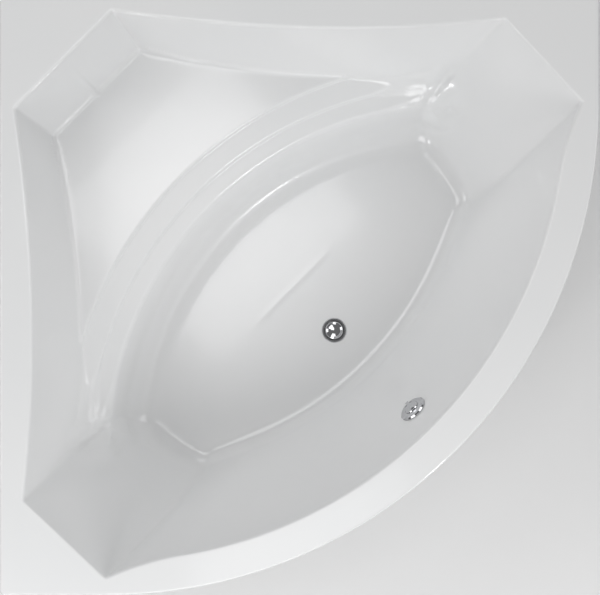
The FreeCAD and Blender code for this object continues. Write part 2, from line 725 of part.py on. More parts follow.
finish(cut("front_panel", panelSolid, screwTools), "front_panel",
       Placement(Vector(0, 0, size("panelBottom")), Rotation()))
for tool in screwTools:
    tool.Placement.Base.z -= size("panelBottom")
finish(group("panel_screws", screws), "panel_screws")

clipProfile = [("-24", "0"), ("0", "0"), ("0", "-34"), ("-2", "-34"), ("-2", "-2"), ("-24", "-2")]
clips = []
for angle in (-33, -13, 13, 33):
    clip = padded(f"clip_{len(clips) + 1}", clipProfile, "30", "XZ_Plane")
    clip.Placement = (aboutFront * Placement(middle, Rotation(upAxis, angle))
                      * Placement(Vector(panelRadius - size("panelWall") - 0.2, 15, underDeck), Rotation()))
    clips.append(clip)
finish(group("panel_clips", clips), "panel_clips")

# ---- waste: heights are measured from the floor of the basin -----------------------------------

wastePlace = onDiagonal(size("drainPlace"), 0, size("rimHeight") - size("basinDepth"))
finish(turned("waste_flange", [
    ("drainHole - 4", "-20"), ("drainHole - 0.5", "-20"), ("drainHole - 0.5", "0"), ("35", "0"), ("35", "1.2"),
    ("33", "2.6"), ("drainHole + 2", "2.6"), ("drainHole - 2", "-1"), ("drainHole - 4", "-3"),
]), "waste_flange", wastePlace)
finish(turned("waste_gasket", [
    ("drainHole + 0.5", "-shellWall - 3"), ("36", "-shellWall - 3"), ("36", "-shellWall"),
    ("drainHole + 0.5", "-shellWall"),
]), "waste_gasket", wastePlace)
wasteTube = turned("waste_tube", [
    ("drainHole - 0.4", "-shellWall - 3"), ("38", "-shellWall - 3"), ("38", "-shellWall - 8"),
    ("30", "-shellWall - 11"), ("24", "-48"), ("24", "-90"), ("20", "-90"), ("20", "-50"),
    ("drainHole - 0.4", "-30"),
])
inletDown = -68
sideways = Rotation(Vector(0, 1, 0), 90)
inlet = cylinder("waste_inlet", "hoseRadius", "50", Placement(Vector(0, 0, inletDown), sideways))
port = cylinder("waste_port", "cableRadius + 2", "42", Placement(Vector(0, 18, inletDown + 6), sideways))
inletBore = cylinder("waste_inlet_bore", "hoseRadius - hoseWall", "60", Placement(Vector(0, 0, inletDown), sideways))
tubeBore = cylinder("waste_tube_bore", "20", "42", Placement(Vector(0, 0, -91), Rotation()))
finish(cut("waste_body", fuse("waste_solid", [wasteTube, inlet, port]), [inletBore, tubeBore]), "waste_body",
       wastePlace)
finish(turned("waste_plug", [
    ("0", "3.2"), ("24", "3.2"), ("25", "4.2"), ("23", "6.5"), ("17", "8.8"), ("9", "10.2"), ("0", "10.6"),
]), "waste_plug", wastePlace)
finish(cylinder("plug_stem", "4", "46"), "plug_stem", wastePlace * Placement(Vector(0, 0, -42.8), Rotation()))
finish(turned("trap_nut", [("24.2", "-96"), ("34", "-96"), ("34", "-84"), ("28", "-80"), ("24.2", "-80")]),
       "trap_nut", wastePlace)
outletDown = -121
trapCup = turned("trap_cup", [
    ("0", "-145"), ("44", "-145"), ("48", "-139"), ("48", "-96.5"), ("24", "-96.5"), ("24", "-90.5"),
    ("20", "-90.5"), ("20", "-100"), ("44.5", "-100"), ("44.5", "-138"), ("42", "-141.5"), ("0", "-141.5"),
])
outlet = (Placement(Vector(0, 0, outletDown), Rotation(upAxis, -size("outletTurn")))
          * Placement(middle, Rotation(Vector(0, 1, 0), -90)))
socket = cylinder("trap_socket", "24", "70", outlet)
socketBore = cylinder("trap_socket_bore", "20.1", "80", outlet)
trapWhole = cut("trap_with_socket", fuse("trap_solid", [trapCup, socket]), [socketBore])
finish(trapWhole, "trap_body", wastePlace)
# The pipe has a stop bead, then a shallow groove, then the free end of full radius.
outletPipe = [
    ("outletRadius - 2", "0"), ("outletRadius - 0.1", "0"), ("outletRadius - 0.1", "outletLength - outletFree - 7"),
    ("outletRadius + 3", "outletLength - outletFree - 7"), ("outletRadius + 3", "outletLength - outletFree - 3"),
    ("outletRadius - 0.4", "outletLength - outletFree - 3"), ("outletRadius - 0.4", "outletLength - outletFree"),
    ("outletRadius", "outletLength - outletFree"), ("outletRadius", "outletLength"),
    ("outletRadius - 2", "outletLength"),
]
finish(turned("outlet_pipe", outletPipe), "outlet_pipe", wastePlace * outlet * Placement(Vector(0, 0, 50), Rotation()))

# ---- overflow: +Z is square off the front wall, into the basin ---------------------------------

overflow = overflowFrame()
finish(turned("overflow_gasket", [
    ("drainHole + 1", "-9"), ("35", "-9"), ("35", "-shellWall"), ("drainHole + 1", "-shellWall"),
]), "overflow_gasket", overflow)
housing = turned("overflow_housing", [
    ("5.05", "-50"), ("34", "-50"), ("34", "-9"), ("drainHole", "-9"), ("drainHole", "0.8"), ("22", "0.8"),
    ("22", "-44"), ("9", "-44"), ("9", "-12"), ("5.05", "-12"),
])
outletOut = -32
downTheWall = Rotation(Vector(0, 1, 0), 90)
spout = cylinder("overflow_spout", "hoseRadius", "20", Placement(Vector(28, 0, outletOut), downTheWall))
cablePort = cylinder("overflow_port", "cableRadius + 2", "20", Placement(Vector(18, 22, outletOut - 4), downTheWall))
spoutBore = cylinder("overflow_spout_bore", "hoseRadius - hoseWall", "40",
                     Placement(Vector(15, 0, outletOut), downTheWall))
finish(cut("overflow_body", fuse("overflow_solid", [housing, spout, cablePort]), [spoutBore]), "overflow_body",
       overflow)
finish(turned("overflow_rosette", [
    ("20.4", "0.8"), ("37.5", "0.8"), ("37.5", "3"), ("34", "6"), ("28", "7.5"), ("20.4", "8"),
]), "overflow_rosette", overflow)
knobDisc = turned("knob_disc", [
    ("0", "-46"), ("5", "-46"), ("5", "1.4"), ("20", "1.4"), ("20", "9"), ("18", "11"), ("0", "11"),
])
grip = box("knob_grip", "34", "9", "12", (-17, -4.5, 8))
finish(fuse("overflow_knob", [knobDisc, grip]), "overflow_knob", overflow)

# ---- hose and cable from the overflow to the waste ---------------------------------------------


def fittingRoute(start, direction, height, end, radius):
    """A straight run from start, an arc, and a level straight run to the end; all on one upright plane."""
    corner = start + direction * ((height - start.z) / direction.z)
    level = Vector(-1, 0, 0)
    halfTurn = math.acos(direction.dot(level)) / 2
    tangent = radius * math.tan(halfTurn)
    toCentre = (level - direction).normalize()
    centre = corner + toCentre * (radius / math.cos(halfTurn))
    first = corner - direction * tangent
    second = corner + level * tangent
    return [Part.makeLine(start, first), Part.Arc(first, centre - toCentre * radius, second).toShape(),
            Part.makeLine(second, Vector(end, start.y, height))]


def alongRoute(edges, distance):
    """Point and direction at a distance along a chain of edges."""
    for edge in edges:
        if distance <= edge.Length or edge is edges[-1]:
            parameter = edge.getParameterByLength(min(distance, edge.Length))
            return edge.valueAt(parameter), edge.tangentAt(parameter).normalize()
        distance -= edge.Length


overflowOnDiagonal = diagonal.inverse() * overflow
wasteHeight = size("rimHeight") - size("basinDepth")
downWall = overflowOnDiagonal.Rotation.multVec(Vector(1, 0, 0))
hoseStart = overflowOnDiagonal.multVec(Vector(48, 0, outletOut))
hoseEnd = size("drainPlace") + 50
hoseRoute = fittingRoute(hoseStart, downWall, wasteHeight + inletDown, hoseEnd, 80)
ribCount = 26
plainEnd = 26


def ribbedHose():
    length = sum(edge.Length for edge in hoseRoute)
    pitch = (length - 2 * plainEnd) / ribCount
    low = size("hoseRadius")
    high = low + size("ribHeight")
    rings = [(0, low)]
    for rib in range(ribCount):
        start = plainEnd + rib * pitch
        rings += [(start + share * pitch, radius)
                  for share, radius in ((0.1, low), (0.3, high), (0.7, high), (0.9, low))]
    rings.append((length, low))
    wires = []
    for distance, radius in rings:
        point, direction = alongRoute(hoseRoute, distance)
        steady = Vector(0, 1, 0)
        ring = Part.makeCircle(radius)
        ring.Placement = Placement(point, Rotation(steady, direction.cross(steady), direction, "ZXY"))
        wires.append(Part.Wire(ring))
    outside = Part.makeLoft(wires, True, True)
    bore = Part.Wire(Part.makeCircle(low - size("hoseWall"), hoseRoute[0].valueAt(0), downWall))
    inside = Part.Wire(hoseRoute).makePipeShell([bore], True, False)
    return outside.cut(inside)


shaped("overflow_hose", ribbedHose(), diagonal)

cableStart = overflowOnDiagonal.multVec(Vector(38, 22, outletOut - 4))
cableRoute = fittingRoute(cableStart, downWall, wasteHeight + inletDown + 6, size("drainPlace") + 42, 70)


def cable():
    profile = Part.Wire(Part.makeCircle(size("cableRadius"), cableStart, downWall))
    return Part.Wire(cableRoute).makePipeShell([profile], True, False)


shaped("bowden_cable", cable(), diagonal)

# ---- check and export --------------------------------------------------------------------------

doc.recompute()
for item in doc.Objects:
    if "Invalid" in item.State or "Error" in item.State:
        raise RuntimeError(f"{item.Name} failed: {item.State}")
for item in nodes:
    if item.Shape.isNull() or not item.Shape.isValid() or not item.Shape.Solids:
        raise RuntimeError(f"{item.Label} has no sound solid")
print("hose length", round(sum(edge.Length for edge in hoseRoute), 1))
print("cable length", round(sum(edge.Length for edge in cableRoute), 1))
os.makedirs("parts", exist_ok=True)
for item in nodes:
    item.Shape.exportStep(f"parts/{item.Label}.step")
print(len(nodes), "pieces")
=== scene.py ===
import json
import math
import bmesh
import bpy
import numpy as np
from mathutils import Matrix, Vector, geometry


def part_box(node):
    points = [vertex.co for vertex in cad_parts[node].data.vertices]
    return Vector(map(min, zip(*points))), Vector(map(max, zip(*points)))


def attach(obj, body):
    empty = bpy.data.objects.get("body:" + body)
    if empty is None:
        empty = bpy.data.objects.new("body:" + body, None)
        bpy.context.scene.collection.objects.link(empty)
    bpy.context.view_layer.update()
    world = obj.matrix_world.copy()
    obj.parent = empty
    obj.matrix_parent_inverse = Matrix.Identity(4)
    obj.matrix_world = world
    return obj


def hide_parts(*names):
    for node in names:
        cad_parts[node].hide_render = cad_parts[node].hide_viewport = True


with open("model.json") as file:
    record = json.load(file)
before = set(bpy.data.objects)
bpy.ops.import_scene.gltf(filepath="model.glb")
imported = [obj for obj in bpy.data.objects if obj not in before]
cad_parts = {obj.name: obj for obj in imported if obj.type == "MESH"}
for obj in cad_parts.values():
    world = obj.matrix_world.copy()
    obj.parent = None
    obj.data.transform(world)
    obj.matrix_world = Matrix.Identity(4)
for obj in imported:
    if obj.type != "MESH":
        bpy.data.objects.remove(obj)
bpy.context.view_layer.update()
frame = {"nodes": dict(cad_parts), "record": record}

# corner bathtub seen from straight above, white acrylic with chrome fittings
scene = bpy.context.scene
scene.view_settings.view_transform = "Standard"
halfRoot = math.sqrt(0.5)
mm = 0.001

camera = {
    "place": (0.0012, -0.005, 3.9),   # 3.3 m above the rim
    "lens": 79.33,
    "sensor": 36.0,
    "farthest": 50.0,
}


def makeCamera():
    data = bpy.data.cameras.new("topCamera")
    data.sensor_fit = "HORIZONTAL"
    data.sensor_width = camera["sensor"]
    data.lens = camera["lens"]
    data.clip_end = camera["farthest"]
    item = bpy.data.objects.new("topCamera", data)
    item.location = camera["place"]
    scene.collection.objects.link(item)
    scene.camera = item


makeCamera()
print("camera placed")


# shader helpers: a socket that can be reckoned with, and a material that adds its nodes
class Wire:
    def __init__(self, finish, socket):
        self.finish = finish
        self.socket = socket

    def math(self, operation, first, second):
        return self.finish.node("ShaderNodeMath", {"operation": operation}, {0: first, 1: second})

    def __add__(self, other):
        return self.math("ADD", self, other)

    def __radd__(self, other):
        return self.math("ADD", other, self)

    def __mul__(self, other):
        return self.math("MULTIPLY", self, other)

    def __rmul__(self, other):
        return self.math("MULTIPLY", other, self)

    def atLeast(self, other):
        return self.math("MAXIMUM", self, other)


nodeSheet = {"perRow": 9, "across": 200, "down": 160}     # how a material's nodes are laid out


class Finish:
    def __init__(self, name):
        self.material = bpy.data.materials.new(name)
        self.material.use_nodes = True
        self.tree = self.material.node_tree
        self.tree.nodes.clear()
        self.output = self.tree.nodes.new("ShaderNodeOutputMaterial")
        self.count = 0

    def node(self, kind, settings, values, out=0):
        # its settings are set first, then the numbers and links of its sockets
        item = self.tree.nodes.new(kind)
        self.count += 1
        row, column = divmod(self.count, nodeSheet["perRow"])
        item.location = (-nodeSheet["across"] * column, -nodeSheet["down"] * row)
        for name, setting in settings.items():
            if name == "stops":
                self.fillRamp(item.color_ramp, setting)
            else:
                setattr(item, name, setting)
        for name, value in values.items():
            target = item.inputs[name]
            if isinstance(value, Wire):
                self.tree.links.new(value.socket, target)
            else:
                target.default_value = value
        return Wire(self, item.outputs[out])

    def fillRamp(self, ramp, stops):
        while len(ramp.elements) < len(stops):
            ramp.elements.new(0.5)
        for element, (place, color) in zip(ramp.elements, stops):
            element.position = place
            element.color = color

    def where(self):
        return self.node("ShaderNodeTexCoord", {}, {}, out="Object")

    def stretched(self, x, y, z):
        return self.node("ShaderNodeVectorMath", {"operation": "MULTIPLY"}, {0: self.where(), 1: (x, y, z)})

    def noise(self, scale, detail, roughness=0.5, vector=None, distortion=0.0):
        return self.node("ShaderNodeTexNoise", {}, {
            "Vector": vector or self.where(), "Scale": scale, "Detail": detail, "Roughness": roughness,
            "Distortion": distortion})

    def flakes(self, scale):
        # one grey per cell
        cells = self.node("ShaderNodeTexVoronoi", {"feature": "F1"}, {
            "Vector": self.where(), "Scale": scale}, out="Color")
        return self.node("ShaderNodeSeparateColor", {}, {0: cells})

    def ramp(self, value, *stops):
        grey = [(place, rgb(tone, tone, tone)) for place, tone in stops]
        return self.node("ShaderNodeValToRGB", {"stops": grey}, {0: value})

    def mixColor(self, share, first, second):
        # 6, 7 and 2 are the Mix node's colour sockets
        return self.node("ShaderNodeMix", {"data_type": "RGBA"}, {0: share, 6: first, 7: second}, out=2)

    def bump(self, height, strength, distance):
        return self.node("ShaderNodeBump", {}, {
            "Strength": strength, "Distance": distance, "Height": height})

    def surface(self, values):
        shader = self.node("ShaderNodeBsdfPrincipled", {}, values)
        self.tree.links.new(shader.socket, self.output.inputs["Surface"])
        return self.material


def rgb(red, green, blue):
    return (red, green, blue, 1.0)


def darker(color, share):
    return rgb(*(part * share for part in color[:3]))


acrylic = {
    "color": rgb(0.835, 0.838, 0.84),
    "cloud": rgb(0.815, 0.822, 0.826),     # barely visible clouding of a moulded sheet
    "cloudScale": 2.3,
    "roughness": 0.11,                     # where it is smoothest
    "smear": 0.10,                         # what wiping adds to that
    "smearScale": 9.0,
    "waves": 0.00048,                      # metres, the soft waviness of thermoformed acrylic
    "waveScale": 5.5,
    "refraction": 1.49,
    "coat": 0.35,
    "coatRoughness": 0.06,
}


def acrylicMaterial(name, tint):
    finish = Finish(name)
    cloud = finish.ramp(finish.noise(acrylic["cloudScale"], 4), (0.35, 0.0), (0.7, 1.0))
    smear = finish.noise(acrylic["smearScale"], 5, 0.6)
    waves = finish.noise(acrylic["waveScale"], 2, 0.4)
    return finish.surface({
        "Base Color": finish.mixColor(cloud, darker(acrylic["color"], tint), darker(acrylic["cloud"], tint)),
        "Roughness": smear * acrylic["smear"] + acrylic["roughness"],
        "IOR": acrylic["refraction"],
        "Coat Weight": acrylic["coat"],
        "Coat Roughness": acrylic["coatRoughness"],
        "Normal": finish.bump(waves, 0.5, acrylic["waves"])})


backing = {
    "color": rgb(0.62, 0.60, 0.53),
    "resin": rgb(0.74, 0.73, 0.68),
    "dirt": rgb(0.5, 0.48, 0.42),
    "strandScale": 160.0,
    "strandBend": 1.4,
    "strandLength": 0.12,                  # the smaller, the longer
    "clumpScale": 18.0,
    "clump": 1.4,                          # height of the clumps against the strands
    "roughness": 0.38,
    "relief": 0.0012,
}


def backingMaterial():
    finish = Finish("glassFibreBacking")
    long, flat = backing["strandLength"], 0.3
    strands, crossed = [
        finish.noise(backing["strandScale"], 2, 0.5, finish.stretched(*stretch), backing["strandBend"])
        for stretch in ((1.0, long, flat), (long, 1.0, flat))]
    mat = strands.atLeast(crossed)
    clump = finish.noise(backing["clumpScale"], 5, 0.65)
    color = finish.mixColor(finish.ramp(mat, (0.45, 0.0), (0.68, 1.0)), backing["color"], backing["resin"])
    return finish.surface({
        "Base Color": finish.mixColor(clump * 0.35, color, backing["dirt"]),
        "Roughness": clump * 0.35 + backing["roughness"],
        "Normal": finish.bump(mat + clump * backing["clump"], 0.7, backing["relief"])})


metals = {
    "chrome": {"name": "polishedChrome", "color": rgb(0.58, 0.585, 0.60), "roughness": 0.04, "smear": 0.06,
               "streak": 0.0},
    "stud_steel": {"name": "threadedSteel", "color": rgb(0.62, 0.62, 0.60), "roughness": 0.28, "smear": 0.2,
                   "streak": 0.4},
}


def metalMaterial(metal):
    finish = Finish(metal["name"])
    haze = finish.ramp(finish.noise(38, 5, 0.62), (0.3, 0.0), (0.75, 1.0))
    cloud = finish.noise(120, 3)
    lines = finish.noise(260, 2, 0.5, finish.stretched(1, 1, 0.02))
    return finish.surface({
        "Base Color": finish.mixColor(cloud * 0.25, metal["color"], darker(metal["color"], 0.86)),
        "Metallic": 1.0,
        "Roughness": haze * metal["smear"] + metal["roughness"],
        "Normal": finish.bump(lines, metal["streak"], 0.0002)})


zinc = {
    "dark": rgb(0.52, 0.54, 0.56),
    "light": rgb(0.68, 0.70, 0.72),
    "grime": rgb(0.42, 0.42, 0.41),
    "spangleScale": 95.0,
    "grimeScale": 14.0,
    "metallic": 0.9,
    "roughness": 0.34,
}


def zincMaterial():
    finish = Finish("zincSteel")
    flake = finish.flakes(zinc["spangleScale"])
    grime = finish.noise(zinc["grimeScale"], 6, 0.6)
    tone = finish.mixColor(flake, zinc["dark"], zinc["light"])
    return finish.surface({
        "Base Color": finish.mixColor(finish.ramp(grime, (0.5, 0.0), (0.8, 0.5)), tone, zinc["grime"]),
        "Metallic": zinc["metallic"],
        "Roughness": flake * 0.18 + zinc["roughness"],
        "Normal": finish.bump(grime, 0.2, 0.0004)})


plastics = {
    "foot_plastic": {"name": "footPlastic", "color": rgb(0.035, 0.036, 0.038), "roughness": 0.42,
                     "grain": 0.4},
    "fitting_plastic": {"name": "fittingPlastic", "color": rgb(0.80, 0.80, 0.77), "roughness": 0.32,
                        "grain": 0.15},
    "hose_plastic": {"name": "hosePlastic", "color": rgb(0.42, 0.43, 0.45), "roughness": 0.36, "grain": 0.2},
    "cable_sleeve": {"name": "cableSleeve", "color": rgb(0.02, 0.02, 0.022), "roughness": 0.38,
                     "grain": 0.2},
    "gasket_rubber": {"name": "gasketRubber", "color": rgb(0.022, 0.022, 0.022), "roughness": 0.62,
                      "grain": 0.6},
}


def plasticMaterial(plastic):
    finish = Finish(plastic["name"])
    speck = finish.noise(900, 2)
    cloud = finish.noise(26, 4)
    return finish.surface({
        "Base Color": finish.mixColor(cloud * 0.5, plastic["color"], darker(plastic["color"], 0.86)),
        "Roughness": cloud * 0.16 + plastic["roughness"],
        "Normal": finish.bump(speck, plastic["grain"], 0.0002)})


chipboard = {
    "dark": rgb(0.42, 0.29, 0.16),
    "light": rgb(0.70, 0.55, 0.36),
    "dust": rgb(0.58, 0.44, 0.27),
    "chipScale": 230.0,
    "dustScale": 70.0,
    "roughness": 0.62,
    "relief": 0.0006,
}


def chipboardMaterial():
    finish = Finish("chipboard")
    chip = finish.flakes(chipboard["chipScale"])
    dust = finish.noise(chipboard["dustScale"], 6, 0.7)
    tone = finish.mixColor(chip, chipboard["dark"], chipboard["light"])
    return finish.surface({
        "Base Color": finish.mixColor(dust * 0.6, tone, chipboard["dust"]),
        "Roughness": dust * 0.2 + chipboard["roughness"],
        "Normal": finish.bump(chip + dust, 0.5, chipboard["relief"])})


timber = {
    "early": rgb(0.62, 0.43, 0.23),
    "late": rgb(0.76, 0.59, 0.37),
    "fibre": rgb(0.50, 0.34, 0.18),
    "ringScale": 55.0,
    "fibreScale": 240.0,
    "fibreLength": 0.06,                   # the smaller, the longer
    "roughness": 0.6,
    "relief": 0.0005,
}


def timberMaterial():
    finish = Finish("sawnTimber")
    rings = finish.node("ShaderNodeTexWave", {"wave_type": "BANDS", "bands_direction": "Z"}, {
        "Vector": finish.where(), "Scale": timber["ringScale"], "Distortion": 3.5, "Detail": 3.0,
        "Detail Scale": 0.35}, out="Fac")
    along = timber["fibreLength"]
    fibre = finish.noise(timber["fibreScale"], 4, 0.6, finish.stretched(along, along, 1))
    tone = finish.mixColor(rings, timber["early"], timber["late"])
    return finish.surface({
        "Base Color": finish.mixColor(fibre * 0.4, tone, timber["fibre"]),
        "Roughness": fibre * 0.2 + timber["roughness"],
        "Normal": finish.bump(rings + fibre, 0.4, timber["relief"])})


finishes = {
    "acrylic": acrylicMaterial("whiteAcrylic", 1.0),
    "panel_acrylic": acrylicMaterial("panelAcrylic", 0.99),
    "backing": backingMaterial(),
    "zinc_steel": zincMaterial(),
    "chipboard": chipboardMaterial(),
    "timber": timberMaterial(),
}
for slot, metal in metals.items():
    finishes[slot] = metalMaterial(metal)
for slot, plastic in plastics.items():
    finishes[slot] = plasticMaterial(plastic)
slotOf = {row["node"]: row["material_slot"] for row in frame["record"]["subparts"]}
for node, item in frame["nodes"].items():
    item.data.materials.clear()
    item.data.materials.append(finishes[slotOf[node]])
print("materials made:", len(finishes))


# basin shape, in millimetres on the diagonal axes: u towards the curved front, w away from the diagonal
# (the basin is the same on both sides of it), z up from the rim. Distances are negative in the open space.
basin = {
    "depth": 430.0,
    "seatDepth": 220.0,
    "frontAxis": -678.8,          # upright axis of the curved front wall
    "frontTop": 1143.0,           # its radius at the rim and at the floor
    "frontLow": 965.0,
    "flareFrom": (36.0, 24.5),    # degrees from the diagonal where the front wall swings out, rim and floor
    "flare": (39.5, 18.0),        # how far it has swung a span further on
    "flareSpan": 9.0,
    "flareMost": 1.6,             # spans, after which it swings no further
    "chamferTop": 834.0,          # short wall across the seat's corner
    "chamferLow": 701.4,
    "backTop": 847.0,             # back rests, away from the diagonal
    "backLow": 562.0,
    "backTilt": 0.03,             # the back rest's top edge nears the diagonal towards the front
    "backMiddle": 15.0,           # along u, where it is backTop away
    "backBend": (157.0, 77.0),    # along u, where it turns in towards the front wall, rim and floor
    "backTurn": math.radians(33),
    "backRound": 365.0,           # radius of that bend at the floor, a sharp bend at the rim
    # bowed walls beside the seat: one end, middle, other end
    "bowTop": [(-833.7, 171.8), (-457.2, 486.9), (-126.6, 850.6)],
    "bowLow": [(-701.4, 156.8), (-401.1, 333.5), (-147.1, 565.7)],
    "tipTop": (157.0, 842.0),     # about where back rest and front wall meet
    "tipLow": (146.0, 515.0),
    "cornerTop": (9.0, 10.0, 6.0),     # corner radii: at the seat, at the back rest, at the tip
    "cornerLow": (14.0, 60.0, 55.0),
    "seatAxis": 600.0,            # upright axis of seat edge, terraces and sunken floor
    "steps": [(1050.0, 1044.0, 220.0, 232.0), (992.0, 986.0, 250.0, 262.0)],   # radii, then depths
    "stepSlope": 18.0 / 52.0,     # of the treads, down to the radius of treadEnd
    "treadEnd": 720.0,
    "stepEdge": (6.5, 60.0),      # roundings of the step edges, wide where they run out at the ends
    "stepFoot": (1.5, 60.0),
    "stepFade": (500.0, 610.0),   # away from the diagonal, where those change
    "lensTop": 940.0,             # radii of the sunken floor's long wall, top and foot
    "lensLow": 893.0,
    "lensEdge": (282.0, 430.0),   # and their depths
    "lensRound": 14.0,
    "lensFoot": 95.0,
    "ledgeSlope": math.tan(math.radians(24)),
    "ledgeDepth": 290.0,          # of the terraces' ends, ledgeFrom away from the diagonal
    "ledgeFrom": 545.0,
    "terraceEnd": (-122.0, -70.0),         # along u the terraces end here, at their top and at the floor
    "terraceEndRound": 40.0,
    "terraceBlend": 90.0,         # between treads and their ends
    "seatBlend": 13.0,            # radii at the foot of the walls, on seat, floor and terraces
    "floorBlend": 50.0,
    "ledgeBlend": 108.0,
    "floorBlendDepth": (250.0, 400.0),     # where one of those radii turns into another
    "ledgeBlendStart": (-300.0, -180.0),
    "ledgeBlendSide": (450.0, 640.0),
    "ledgeBlendStop": (40.0, 170.0),
    "mouth": 8.5,                 # rounding of the rim's inner edge
    "wall": 6.0,
    "holes": [(138.0, 26.0, 26.0), (413.5, 10.4, 27.0)],   # waste and overflow: u, half sizes in plan
}


class Side:
    def __init__(self, value, slope):
        self.value = value
        self.slope = slope            # unit gradient, three rows

    def __neg__(self):
        return Side(-self.value, -self.slope)


def between(pair, share):
    return pair[0] + (pair[1] - pair[0]) * share


def smoothStep(value, low, high):
    share = np.clip((value - low) / (high - low), 0, 1)
    return share * share * (3 - 2 * share)


def tilted(reach, u, w, z):
    # a wall from its distance in plan: divide by its real steepness
    value = reach(u, w, z)
    nudge = 0.5
    slope = np.array([(reach(u + nudge, w, z) - reach(u - nudge, w, z)) / (2 * nudge),
                      (reach(u, w + nudge, z) - reach(u, w - nudge, z)) / (2 * nudge),
                      (reach(u, w, z + nudge) - reach(u, w, z - nudge)) / (2 * nudge)])
    length = np.sqrt((slope ** 2).sum(0))
    return Side(value / length, slope / length)


def level(depth, z):
    flat = np.zeros((3,) + z.shape)
    flat[2] = -1
    return Side(-(z + depth), flat)


def within(first, second, radius):
    # open space inside both, their inner corner rounded with a true fillet
    cosine = np.clip((first.slope * second.slope).sum(0), -0.98, 0.998)    # never quite parallel
    sine = np.sqrt(1 - cosine ** 2)
    a = first.value + radius
    b = second.value + radius
    inCorner = (a - b * cosine > 0) & (b - a * cosine > 0)
    reach = np.sqrt(np.maximum(a * a + b * b - 2 * a * b * cosine, 1e-9)) / sine
    takeFirst = first.value > second.value
    value = np.where(inCorner, reach - radius, np.where(takeFirst, first.value, second.value))
    weightA = np.where(inCorner, (a - b * cosine) / (sine ** 2 * reach), takeFirst)
    weightB = np.where(inCorner, (b - a * cosine) / (sine ** 2 * reach), ~takeFirst)
    slope = first.slope * weightA + second.slope * weightB
    slope = slope / np.maximum(np.sqrt((slope ** 2).sum(0)), 1e-9)
    return Side(value, slope)


def either(first, second, radius):
    return -within(-first, -second, radius)


def byDepth(pair, z, low=0.0, high=basin["depth"]):
    return between(pair, np.clip((-z - low) / (high - low), 0, 1))


def linear(pair, z):
    return pair[0] - (pair[1] - pair[0]) * z / basin["depth"]


def frontReach(u, w, z):
    du = u - basin["frontAxis"]
    angle = np.degrees(np.arctan2(w, du))
    past = np.maximum(angle - linear(basin["flareFrom"], z), 0) / basin["flareSpan"]
    swing = np.minimum(past, basin["flareMost"]) ** 2 * linear(basin["flare"], z)
    return np.hypot(du, w) - linear((basin["frontTop"], basin["frontLow"]), z) - swing


def bowCircle(z):
    # circle through the wall's two ends and its middle, at a depth
    (ax, ay), (bx, by), (cx, cy) = [
        (linear((high[0], low[0]), z), linear((high[1], low[1]), z))
        for high, low in zip(basin["bowTop"], basin["bowLow"])]
    twice = 2 * (ax * (by - cy) + bx * (cy - ay) + cx * (ay - by))
    a2, b2, c2 = ax * ax + ay * ay, bx * bx + by * by, cx * cx + cy * cy
    x = (a2 * (by - cy) + b2 * (cy - ay) + c2 * (ay - by)) / twice
    y = (a2 * (cx - bx) + b2 * (ax - cx) + c2 * (bx - ax)) / twice
    return x, y, np.hypot(ax - x, ay - y)


def bowReach(u, w, z):
    x, y, radius = bowCircle(z)
    return radius - np.hypot(u - x, w - y)


def backReach(u, w, z):
    # a slanted plane that bends in towards the front wall, sharply at the rim and wide at the floor
    turn = basin["backTurn"]
    radius = basin["backRound"] * np.maximum(-z / basin["depth"], 0.01)
    start = linear(basin["backBend"], z) - radius * math.tan(turn / 2)
    tilt = basin["backTilt"] * (np.minimum(u, start) - basin["backMiddle"])
    plane = linear((basin["backTop"], basin["backLow"]), z) - tilt
    along, out = u - start, w - plane + radius
    bend = np.clip(np.arctan2(along, out), 0, turn)
    return along * np.sin(bend) + out * np.cos(bend) - radius


def chamferReach(u, w, z):
    return -u - linear((basin["chamferTop"], basin["chamferLow"]), z)


def basinWalls(u, w, z):
    corners = [byDepth(pair, z) for pair in zip(basin["cornerTop"], basin["cornerLow"])]
    chamfer, bow, back, front = [
        tilted(reach, u, w, z) for reach in (chamferReach, bowReach, backReach, frontReach)]
    walls = within(within(chamfer, bow, corners[0]), back, corners[1])
    return within(walls, front, corners[2])


def stepSide(step, u, w, z):
    outer, inner, high, low = step

    def reach(u, w, z):
        share = (-z - high) / (low - high)
        return np.hypot(u - basin["seatAxis"], w) - between((outer, inner), share)

    return tilted(reach, u, w, z)


def stepTread(step, u, w, z):
    _, inner, _, low = step

    def reach(u, w, z):
        radius = np.maximum(np.hypot(u - basin["seatAxis"], w), basin["treadEnd"])
        return -z - low - (inner - radius) * basin["stepSlope"]

    return tilted(reach, u, w, z)


def ledge(u, w, z):
    # the ends of the terraces rise towards the back rest
    def reach(u, w, z):
        return -z - basin["ledgeDepth"] + basin["ledgeSlope"] * (w - basin["ledgeFrom"])

    return tilted(reach, u, w, z)


def lensWalls(u, w, z):
    # the sunken floor's long wall, and the ends of the terraces beyond it
    def arc(u, w, z):
        radius = byDepth((basin["lensTop"], basin["lensLow"]), z, *basin["lensEdge"])
        return np.hypot(u - basin["seatAxis"], w) - radius

    def end(u, w, z):
        return byDepth(basin["terraceEnd"], z, basin["ledgeDepth"], basin["depth"]) - u

    return either(tilted(arc, u, w, z), tilted(end, u, w, z), basin["terraceEndRound"])


def basinFloor(u, w, z):
    air = level(basin["seatDepth"], z)
    fade = smoothStep(w, *basin["stepFade"])
    edge = between(basin["stepEdge"], fade)
    foot = between(basin["stepFoot"], fade)
    for step in basin["steps"]:
        lowered = within(stepSide(step, u, w, z), stepTread(step, u, w, z), foot)
        air = either(air, lowered, edge)
    air = within(air, ledge(u, w, z), basin["terraceBlend"])
    sunken = within(lensWalls(u, w, z), level(basin["depth"], z), basin["lensFoot"])
    return either(air, sunken, between((basin["lensRound"], basin["terraceEndRound"]), fade))


